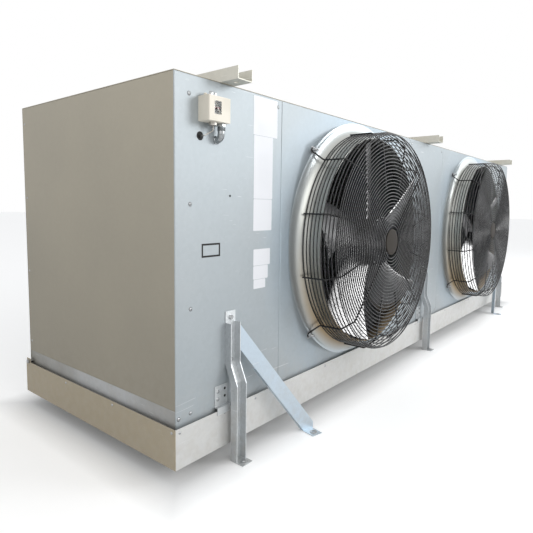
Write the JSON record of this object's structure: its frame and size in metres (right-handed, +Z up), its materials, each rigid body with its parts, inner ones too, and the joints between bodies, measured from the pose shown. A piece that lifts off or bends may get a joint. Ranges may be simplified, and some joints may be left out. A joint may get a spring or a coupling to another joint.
{
  "type": "walk-in unit cooler",
  "caption": "Long box-shaped air cooler for a cold room, with guarded axial fans on one face, a hinged drip tray, hanger channels and braced legs.",
  "frame": {"origin": "middle of the floor bolt pattern of the four corner legs, at floor level", "axes": "+X along the cooler, -Y out of the air-off face with the fans, +Z up; the long side runs along X"},
  "size_m": [3.5373, 1.1505, 1.145],
  "materials": {
    "cool_sheet": "satin",
    "warm_sheet": "satin",
    "base_sheet": "satin",
    "tray_sheet": "satin",
    "coil_aluminium": "satin",
    "copper_tube": "satin",
    "zinc_channel": "zinc plated",
    "galvanised_steel": "galvanised",
    "bright_fastener": "plated",
    "black_wire": "gloss black coating",
    "motor_paint": "satin black",
    "blade_paint": "dark coated",
    "cream_plastic": "moulded",
    "clear_window": "clear",
    "bellows_metal": "bare",
    "black_rubber": "moulded",
    "pointer_red": "moulded"
  },
  "bodies": {
    "cabinet": {"base_rail_front": "base_sheet", "base_rail_rear": "base_sheet", "base_strip_left": "base_sheet", "base_strip_right": "base_sheet", "capillary": "bellows_metal", "capillary_grommet": "black_rubber", "centre_partition": "coil_aluminium", "coil_bulkhead_left": "coil_aluminium", "coil_bulkhead_right": "coil_aluminium", "coil_fin_pack": "coil_aluminium", "coil_tubes": "copper_tube", "conduit_elbow": "bright_fastener", "differential_pointer": "pointer_red", "end_panel_left": "warm_sheet", "end_panel_right": "warm_sheet", "fan_guard_left": "black_wire", "fan_guard_right": "black_wire", "fan_panel_left": "cool_sheet", "fan_panel_right": "cool_sheet", "front_brace_left": "galvanised_steel", "front_brace_right": "galvanised_steel", "front_end_panel_left": "cool_sheet", "front_end_panel_right": "cool_sheet", "front_leg_left": "galvanised_steel", "front_leg_middle": "galvanised_steel", "front_leg_right": "galvanised_steel", "front_middle_panel": "cool_sheet", "guard_fixings_left": "bright_fastener", "guard_fixings_right": "bright_fastener", "hanger_channel_left": "zinc_channel", "hanger_channel_middle": "zinc_channel", "hanger_channel_right": "zinc_channel", "leg_bolts": "galvanised_steel", "liquid_connection": "copper_tube", "motor_stator_left": "motor_paint", "motor_stator_right": "motor_paint", "range_pointer": "pointer_red", "rear_brace_left": "galvanised_steel", "rear_brace_right": "galvanised_steel", "rear_centre_post": "warm_sheet", "rear_end_cover_left": "warm_sheet", "rear_end_cover_right": "warm_sheet", "rear_leg_left": "galvanised_steel", "rear_leg_middle": "galvanised_steel", "rear_leg_right": "galvanised_steel", "suction_connection": "copper_tube", "thermostat_base": "cream_plastic", "thermostat_bellows": "bellows_metal", "thermostat_cover": "cream_plastic", "thermostat_window": "clear_window", "top_cover": "warm_sheet", "tray_keepers": "galvanised_steel", "tray_pivot_bolts": "bright_fastener"},
    "drip_tray": {"drip_tray": "tray_sheet"},
    "fan_left": {"fan_rotor_left": "motor_paint", "impeller_left": "blade_paint"},
    "fan_right": {"fan_rotor_right": "motor_paint", "impeller_right": "blade_paint"},
    "range_spindle": {"range_spindle": "bright_fastener"},
    "differential_spindle": {"differential_spindle": "bright_fastener"}
  },
  "joints": [
    {"name": "fan_left_spin", "type": "hinge", "parent": "cabinet", "child": "fan_left", "pos_m": [-0.75, -0.5, 0.632], "axis": [0, -1, 0], "continuous": true},
    {"name": "fan_right_spin", "type": "hinge", "parent": "cabinet", "child": "fan_right", "pos_m": [0.75, -0.5, 0.632], "axis": [0, -1, 0], "continuous": true},
    {"name": "tray_swing", "type": "hinge", "parent": "cabinet", "child": "drip_tray", "pos_m": [0, 0.417, 0.168], "axis": [1, 0, 0], "range_deg": [0, 3.2]},
    {"name": "range_spindle_turn", "type": "hinge", "parent": "cabinet", "child": "range_spindle", "pos_m": [-1.6105, -0.446, 1.028], "axis": [0, 0, 1], "range_deg": [-1800, 1800]},
    {"name": "differential_spindle_turn", "type": "hinge", "parent": "cabinet", "child": "differential_spindle", "pos_m": [-1.5975, -0.446, 1.028], "axis": [0, 0, 1], "range_deg": [-1800, 1800]}
  ]
}
